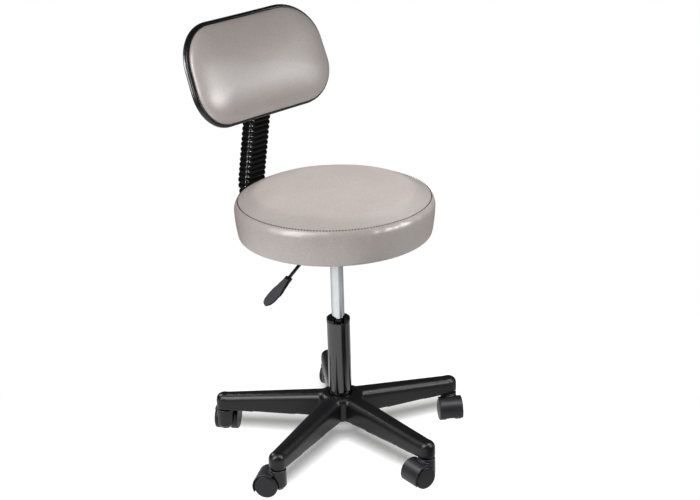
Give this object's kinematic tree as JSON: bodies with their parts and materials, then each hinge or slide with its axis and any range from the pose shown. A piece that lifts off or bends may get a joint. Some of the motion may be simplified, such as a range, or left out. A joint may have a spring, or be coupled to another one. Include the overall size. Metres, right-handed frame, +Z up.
{
  "type": "swivel stool with backrest",
  "caption": "Round padded swivel stool with a small padded backrest on a bent bar, a gas-lift column with a lever, and a star base on twin-wheel casters.",
  "frame": {"origin": "on the floor, under the axis of the column", "axes": "+Z up along the column, the sitter faces -Y and the backrest stands at +Y, the lever is at -X"},
  "size_m": [0.5751, 0.5732, 0.9291],
  "materials": {
    "vinyl": "satin",
    "nylon": "satin",
    "wheel_plastic": "satin",
    "black_tube": "gloss",
    "bush_plastic": "satin",
    "chrome": "polished",
    "steel": "satin",
    "black_steel": "satin",
    "rubber": "satin",
    "plywood": "matte",
    "trim_plastic": "satin",
    "knob_plastic": "satin",
    "lever_plastic": "satin"
  },
  "bodies": {
    "base": {"base_star": "nylon", "column_tube": "black_tube", "guide_bush": "bush_plastic", "lower_race": "steel", "bearing_balls": "steel"},
    "piston": {"piston_rod": "steel", "piston_head": "steel", "upper_race": "steel", "retaining_clip": "steel"},
    "seat": {"gas_cylinder": "chrome", "gland_bush": "steel", "taper_socket": "black_steel", "saddle": "black_steel", "seat_plate": "black_steel", "bar_guide": "black_steel", "seat_board": "plywood", "seat_screws": "steel", "tee_nuts": "steel", "seat_cushion": "vinyl", "lever_pin": "steel"},
    "lever": {"lever_rod": "black_steel", "lever_paddle": "lever_plastic"},
    "valve": {"valve_pin": "steel"},
    "back_bar": {"back_bar": "black_steel", "bellows": "rubber"},
    "depth_knob": {"depth_knob": "knob_plastic", "depth_stud": "steel"},
    "backrest": {"back_shell": "trim_plastic", "back_board": "plywood", "back_cushion": "vinyl", "back_bracket": "black_steel", "back_screws": "steel"},
    "height_knob": {"height_knob": "knob_plastic", "height_stud": "steel"},
    "caster_1": {"caster_hood_1": "nylon", "caster_stem_1": "steel", "caster_axle_1": "steel"},
    "wheel_1_left": {"caster_wheel_1_left": "wheel_plastic"},
    "wheel_1_right": {"caster_wheel_1_right": "wheel_plastic"},
    "caster_2": {"caster_hood_2": "nylon", "caster_stem_2": "steel", "caster_axle_2": "steel"},
    "wheel_2_left": {"caster_wheel_2_left": "wheel_plastic"},
    "wheel_2_right": {"caster_wheel_2_right": "wheel_plastic"},
    "caster_3": {"caster_hood_3": "nylon", "caster_stem_3": "steel", "caster_axle_3": "steel"},
    "wheel_3_left": {"caster_wheel_3_left": "wheel_plastic"},
    "wheel_3_right": {"caster_wheel_3_right": "wheel_plastic"},
    "caster_4": {"caster_hood_4": "nylon", "caster_stem_4": "steel", "caster_axle_4": "steel"},
    "wheel_4_left": {"caster_wheel_4_left": "wheel_plastic"},
    "wheel_4_right": {"caster_wheel_4_right": "wheel_plastic"},
    "caster_5": {"caster_hood_5": "nylon", "caster_stem_5": "steel", "caster_axle_5": "steel"},
    "wheel_5_left": {"caster_wheel_5_left": "wheel_plastic"},
    "wheel_5_right": {"caster_wheel_5_right": "wheel_plastic"}
  },
  "joints": [
    {"name": "seat_swivel", "type": "hinge", "parent": "base", "child": "piston", "pos_m": [0, 0, 0.0735], "axis": [0, 0, 1], "continuous": true},
    {"name": "seat_height", "type": "slide", "parent": "piston", "child": "seat", "axis": [0, 0, 1], "range_m": [-0.125, 0]},
    {"name": "lever_lift", "type": "hinge", "parent": "seat", "child": "lever", "pos_m": [-0.053, 0, 0.48084], "axis": [0, 1, 0], "range_deg": [0, 4], "stiffness_Nm_per_rad": 4, "springref_deg": -5.73},
    {"name": "valve_press", "type": "slide", "parent": "seat", "child": "valve", "axis": [0, 0, -1], "range_m": [0, 0.004]},
    {"name": "back_depth", "type": "slide", "parent": "seat", "child": "back_bar", "axis": [0, 1, 0], "range_m": [-0.01, 0.045]},
    {"name": "depth_knob_turn", "type": "hinge", "parent": "seat", "child": "depth_knob", "pos_m": [0, 0.125, 0.46584], "axis": [0, 0, -1], "range_deg": [0, 360]},
    {"name": "back_height", "type": "slide", "parent": "back_bar", "child": "backrest", "axis": [0, 0.3551, 0.9348], "range_m": [-0.02, 0.03]},
    {"name": "height_knob_turn", "type": "hinge", "parent": "backrest", "child": "height_knob", "pos_m": [0, 0.25495, 0.8108], "axis": [0, 0.9348, -0.3551], "range_deg": [0, 360]},
    {"name": "caster_swivel_1", "type": "hinge", "parent": "base", "child": "caster_1", "pos_m": [0.17172, 0.20393, 0.06], "axis": [0, 0, 1], "continuous": true},
    {"name": "wheel_spin_1_left", "type": "hinge", "parent": "caster_1", "child": "wheel_1_left", "pos_m": [0.19146, 0.21111, 0.025], "axis": [0.342, -0.9397, 0], "continuous": true},
    {"name": "wheel_spin_1_right", "type": "hinge", "parent": "caster_1", "child": "wheel_1_right", "pos_m": [0.19146, 0.21111, 0.025], "axis": [0.342, -0.9397, 0], "continuous": true},
    {"name": "caster_swivel_2", "type": "hinge", "parent": "base", "child": "caster_2", "pos_m": [-0.14088, 0.22634, 0.06], "axis": [0, 0, 1], "continuous": true},
    {"name": "wheel_spin_2_left", "type": "hinge", "parent": "caster_2", "child": "wheel_2_left", "pos_m": [-0.12347, 0.23808, 0.025], "axis": [0.5592, -0.829, 0], "continuous": true},
    {"name": "wheel_spin_2_right", "type": "hinge", "parent": "caster_2", "child": "wheel_2_right", "pos_m": [-0.12347, 0.23808, 0.025], "axis": [0.5592, -0.829, 0], "continuous": true},
    {"name": "caster_swivel_3", "type": "hinge", "parent": "base", "child": "caster_3", "pos_m": [-0.25879, -0.06405, 0.06], "axis": [0, 0, 1], "continuous": true},
    {"name": "wheel_spin_3_left", "type": "hinge", "parent": "caster_3", "child": "wheel_3_left", "pos_m": [-0.26961, -0.04604, 0.025], "axis": [0.8572, 0.515, 0], "continuous": true},
    {"name": "wheel_spin_3_right", "type": "hinge", "parent": "caster_3", "child": "wheel_3_right", "pos_m": [-0.26961, -0.04604, 0.025], "axis": [0.8572, 0.515, 0], "continuous": true},
    {"name": "caster_swivel_4", "type": "hinge", "parent": "base", "child": "caster_4", "pos_m": [-0.01906, -0.26592, 0.06], "axis": [0, 0, 1], "continuous": true},
    {"name": "wheel_spin_4_left", "type": "hinge", "parent": "caster_4", "child": "wheel_4_left", "pos_m": [-0.03968, -0.26191, 0.025], "axis": [0.1908, 0.9816, 0], "continuous": true},
    {"name": "wheel_spin_4_right", "type": "hinge", "parent": "caster_4", "child": "wheel_4_right", "pos_m": [-0.03968, -0.26191, 0.025], "axis": [0.1908, 0.9816, 0], "continuous": true},
    {"name": "caster_swivel_5", "type": "hinge", "parent": "base", "child": "caster_5", "pos_m": [0.24701, -0.1003, 0.06], "axis": [0, 0, 1], "continuous": true},
    {"name": "wheel_spin_5_left", "type": "hinge", "parent": "caster_5", "child": "wheel_5_left", "pos_m": [0.2338, -0.11662, 0.025], "axis": [-0.7771, 0.6293, 0], "continuous": true},
    {"name": "wheel_spin_5_right", "type": "hinge", "parent": "caster_5", "child": "wheel_5_right", "pos_m": [0.2338, -0.11662, 0.025], "axis": [-0.7771, 0.6293, 0], "continuous": true}
  ],
  "couplings": [
    {"joint": "valve_press", "follows": "lever_lift", "m_per_rad": 0.053}
  ]
}
